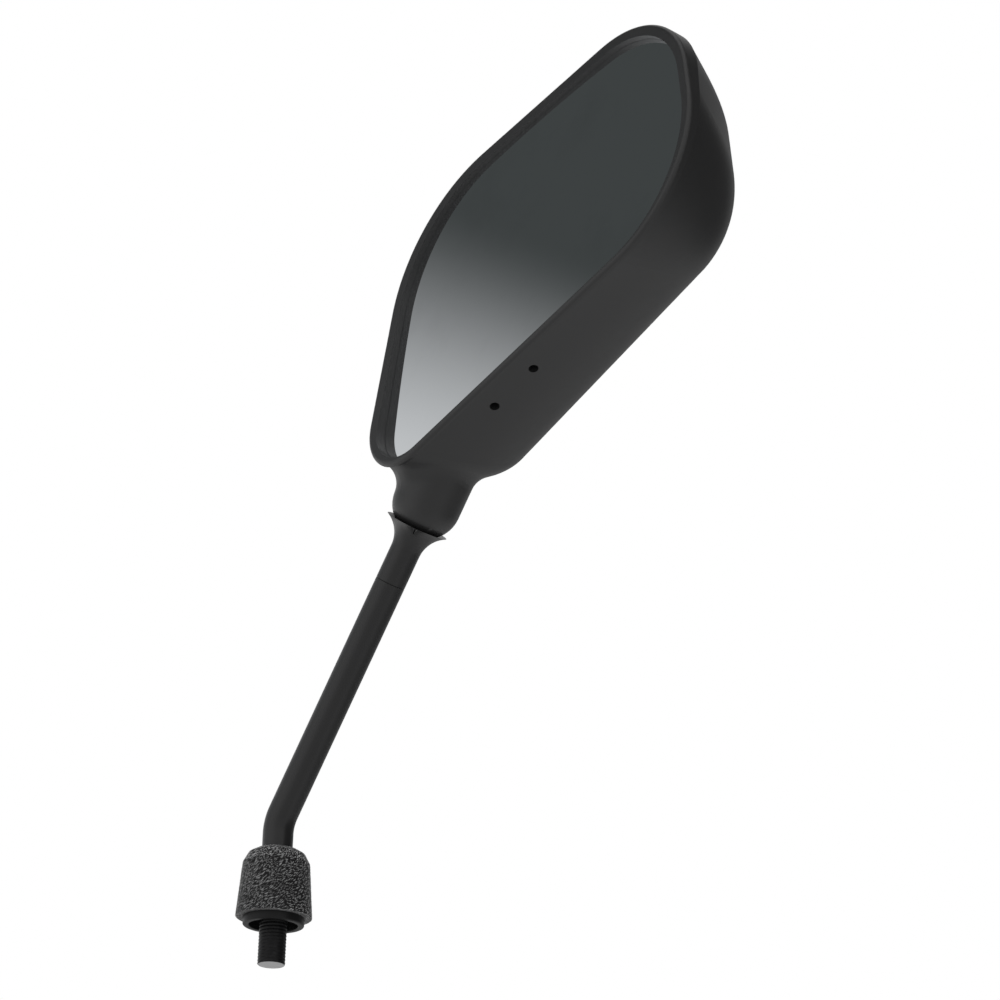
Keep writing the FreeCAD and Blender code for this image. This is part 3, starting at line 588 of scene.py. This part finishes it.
def mirrorGlass():
    spots = np.array([c[:2] for c in rim["corners"]])
    middle = spots.mean(axis=0)
    reach = np.linalg.norm(spots - middle, axis=1).max() - rim["corners"][0][2]
    centreY = rim["front"] + glass["recess"] + math.sqrt(glass["radius"] ** 2 - reach ** 2)
    edge = rimOutline(glass["insets"], glass["round"])
    bevel, thickness = glass["bevel"], glass["thickness"]

    def ballY(flat, offset=0):  # y = centre - sqrt(R^2 - distance^2) on a ball that is offset smaller
        away = ((flat - middle) ** 2).sum(axis=-1)
        return centreY - np.sqrt((glass["radius"] - offset) ** 2 - away)

    def face(shares, offset):  # the outline shrunk to each share of its size
        flat = middle + (edge[:, None] - middle) * np.array(shares)[None, :, None]
        return np.stack([flat[..., 0], ballY(flat, offset), flat[..., 1]], axis=-1)

    trim = 1 - bevel / np.linalg.norm(edge - middle, axis=1).mean()
    front = face(np.r_[0, np.linspace(glass["firstRing"], 1, glass["rings"]) * trim], 0)
    back = face(np.linspace(1, 0, glass["backRings"])[1:], thickness)
    points = np.concatenate([front, face([1.0], bevel), face([1.0], thickness), back], axis=1)
    piece = gridPiece("mirrorGlass", points, headPlace, sharp=20)
    spot = np.empty(len(piece.data.vertices) * 3, np.float32)
    piece.data.vertices.foreach_get("co", spot)
    spot = placed(spot.reshape(-1, 3), headPlace.inverted(), unit=1) / mm
    depth = spot[:, 1] - ballY(spot[:, [0, 2]])
    markPoints(piece, "edge", depth > bevel * glass["edgeFrom"])
    return piece


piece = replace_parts(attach(mirrorGlass(), "head"), "mirror_glass")
dress(piece, mirror)
print("glass curved")


# housing and the joint's insides: the solids' own meshes, whose normals keep the crease crisp

for name, finish in (("housing", plastic), ("ball_stud", steel), ("lock_nut", steel), ("lock_washer", steel),
                     ("spring_plate", steel), ("lower_ball_seat", acetal), ("upper_ball_seat", acetal),
                     ("pressure_spring", wireSteel), ("retaining_ring", wireSteel),
                     ("backing_pad", padFinish)):
    dress(nodes[name], finish)
print("housing and joint dressed")


# studio in metres: pale floor far below, white background, soft lamps, and cards that only reflections show

studio = {"floor": -4.5, "floorSize": 50.0, "floorFade": (2.5, 10.0), "floorWhite": 0.55,
          "floorDark": (0.86, 0.86, 0.86), "floorPale": (0.90, 0.90, 0.90), "floorCloud": 900.0,
          "worldLight": 0.42, "lampAim": (0.08, 0, 0.15), "cardAim": (0.09, 0, 0.055), "cardEdge": (0.36, 0.50)}


def flatSheet(name, size, place):
    # a square of side size in the place's X and Y
    side = np.array([-0.5, 0.5]) * size
    x, y = np.meshgrid(side, side, indexing="ij")
    spots = np.stack([x, y, 0 * x], axis=-1).reshape(-1, 3)
    mesh = bpy.data.meshes.new(name)
    mesh.from_pydata(placed(spots, place, unit=1).tolist(), [], [(0, 2, 3, 1)])
    sheet = linked(name, mesh)
    return sheet


def seenRays(tree):  # 1 to the camera, in reflections and through glass, 0 where it only lights
    rays = tree.nodes.new("ShaderNodeLightPath")
    seen = Wire(tree, rays.outputs["Is Camera Ray"])
    for other in ("Is Glossy Ray", "Is Transmission Ray"):
        seen = seen.maths("MAXIMUM", seen, Wire(tree, rays.outputs[other]))
    return seen


def paleFloor():
    f = Finish("paleFloor", Roughness=0.9, Specular_IOR_Level=0.1)
    cloud = f.noise(studio["floorCloud"], detail=2.0)
    f.feed(Base_Color=f.tint(cloud, studio["floorDark"], studio["floorPale"]))
    far = f.ramp(f.radius() * mm, *studio["floorFade"])
    white = far.maths("MAXIMUM", far, seenRays(f.tree) * studio["floorWhite"])
    plain, glow = Wire(f.tree, f.shader.outputs[0]), f.node("ShaderNodeEmission")
    blend = f.node("ShaderNodeMixShader", i0=white, i1=plain, i2=glow)  # fades into the white background
    f.tree.links.new(blend.socket, f.tree.nodes["Material Output"].inputs[0])
    return f.material


dress(flatSheet("floor", studio["floorSize"], Matrix.Translation((0, 0, studio["floor"]))), paleFloor())

world = bpy.data.worlds.new("studio")
bpy.context.scene.world = world
world.use_nodes = True
sky = world.node_tree.nodes["Background"]
sky.inputs["Color"].default_value = (1, 1, 1, 1)
strength = seenRays(world.node_tree) * (1 - studio["worldLight"]) + studio["worldLight"]
world.node_tree.links.new(strength.socket, sky.inputs["Strength"])

lamps = {"key": {"away": (-0.9, -1.3, 0.9), "size": 1.5, "power": 8.0},
         "under": {"away": (0.3, 1.1, -1.2), "size": 1.0, "power": 3.2}}


def softLamp(name, away, size, power):
    lamp = bpy.data.lights.new(name, "AREA")
    lamp.size, lamp.energy = size, power
    holder = linked(name, lamp)
    aim = Vector(studio["lampAim"])
    holder.location = aim + Vector(away)
    holder.rotation_euler = (aim - holder.location).to_track_quat("-Z", "Y").to_euler()
    holder.visible_glossy = False  # the cards shape the reflections


for name, settings in lamps.items():
    softLamp(name, **settings)


def grey(tone):
    return (tone, tone, tone)


# each card's tone goes from first to last over the span of one axis
cards = {"graded": {"towards": (-0.835, -0.242, 0.494), "distance": 1.9, "size": 2.9, "axis": "Z",
                    "span": (0.95, 1.18), "first": (0.66, 0.67, 0.68), "last": (0.058, 0.064, 0.064)},
         "endFlag": {"towards": (0.28, 0.63, 0.72), "distance": 1.2, "size": 2.1, "axis": "X",
                     "span": (-0.30, 0.20), "first": grey(0.55), "last": grey(0.09)},
         "sideFlag": {"towards": (0.74, 0.67, 0.0), "distance": 1.2, "size": 2.8, "axis": "Z",
                      "span": (-0.9, 0.0), "first": grey(0.40), "last": grey(0.10)},
         "backFlag": {"towards": (-0.45, 0.80, -0.15), "distance": 1.6, "size": 3.0, "axis": "Z",
                      "span": (-0.6, 0.5), "first": grey(0.46), "last": grey(0.34)},
         "frontFlag": {"towards": (0.656, -0.702, -0.276), "distance": 1.5, "size": 2.8, "axis": "Z",
                       "span": (-1.0, 0.6), "first": grey(0.62), "last": grey(0.72)}}


def studioCard(name, towards, distance, size, axis, span, first, last):
    away = Vector(towards).normalized()
    middle = headPlace @ Vector(studio["cardAim"]) + away * distance
    facing = away.to_track_quat("-Z", "Y").to_matrix().to_4x4()
    sheet = flatSheet(name, size, Matrix.Translation(middle) @ facing)
    f = Finish(name, Base_Color=(0, 0, 0, 1), Roughness=1.0, Specular_IOR_Level=0.0, Emission_Strength=1.0)
    reach = f.node("ShaderNodeVectorMath", {"operation": "DISTANCE"}, out="Value", i0=f.place, i1=tuple(middle))
    fadeStart, fadeEnd = (share * size for share in studio["cardEdge"])
    f.feed(Emission_Color=f.tint(f.ramp(f.axis(axis) * mm, *span), first, last),
           Alpha=1 - f.ramp(reach, fadeStart, fadeEnd))  # soft round edge
    dress(sheet, f.material)
    sheet.visible_camera = False  # only the glass and the gloss see it
    sheet.visible_diffuse = False
    sheet.visible_shadow = False


for name, settings in cards.items():
    studioCard(name, **settings)
print("studio lit")


# camera at the photograph's angle: long lens from below, rolled a little

lens = {"azimuth": 43.06, "elevation": -16.0, "roll": 2.9, "distance": 8.0, "field": 0.3571,
        "centre": (0.08284, 0.01856, 0.14996), "sensor": 36.0, "clip": (0.05, 50.0)}
az, el = math.radians(lens["azimuth"]), math.radians(lens["elevation"])
back = Vector((math.sin(az) * math.cos(el), -math.cos(az) * math.cos(el), math.sin(el)))
camera = bpy.data.cameras.new("camera")
camera.sensor_width = lens["sensor"]
camera.lens = lens["sensor"] * lens["distance"] / lens["field"]
camera.clip_start, camera.clip_end = lens["clip"]
eye = linked("camera", camera)
eye.rotation_mode = "QUATERNION"
eye.location = Vector(lens["centre"]) + back * lens["distance"]
eye.rotation_quaternion = ((-back).to_track_quat("-Z", "Y").to_matrix().to_4x4()
                           @ turned(lens["roll"], "Z")).to_quaternion()
bpy.context.scene.camera = eye
bpy.context.scene.view_settings.view_transform = "Standard"
print("camera set")

bpy.context.view_layer.update()
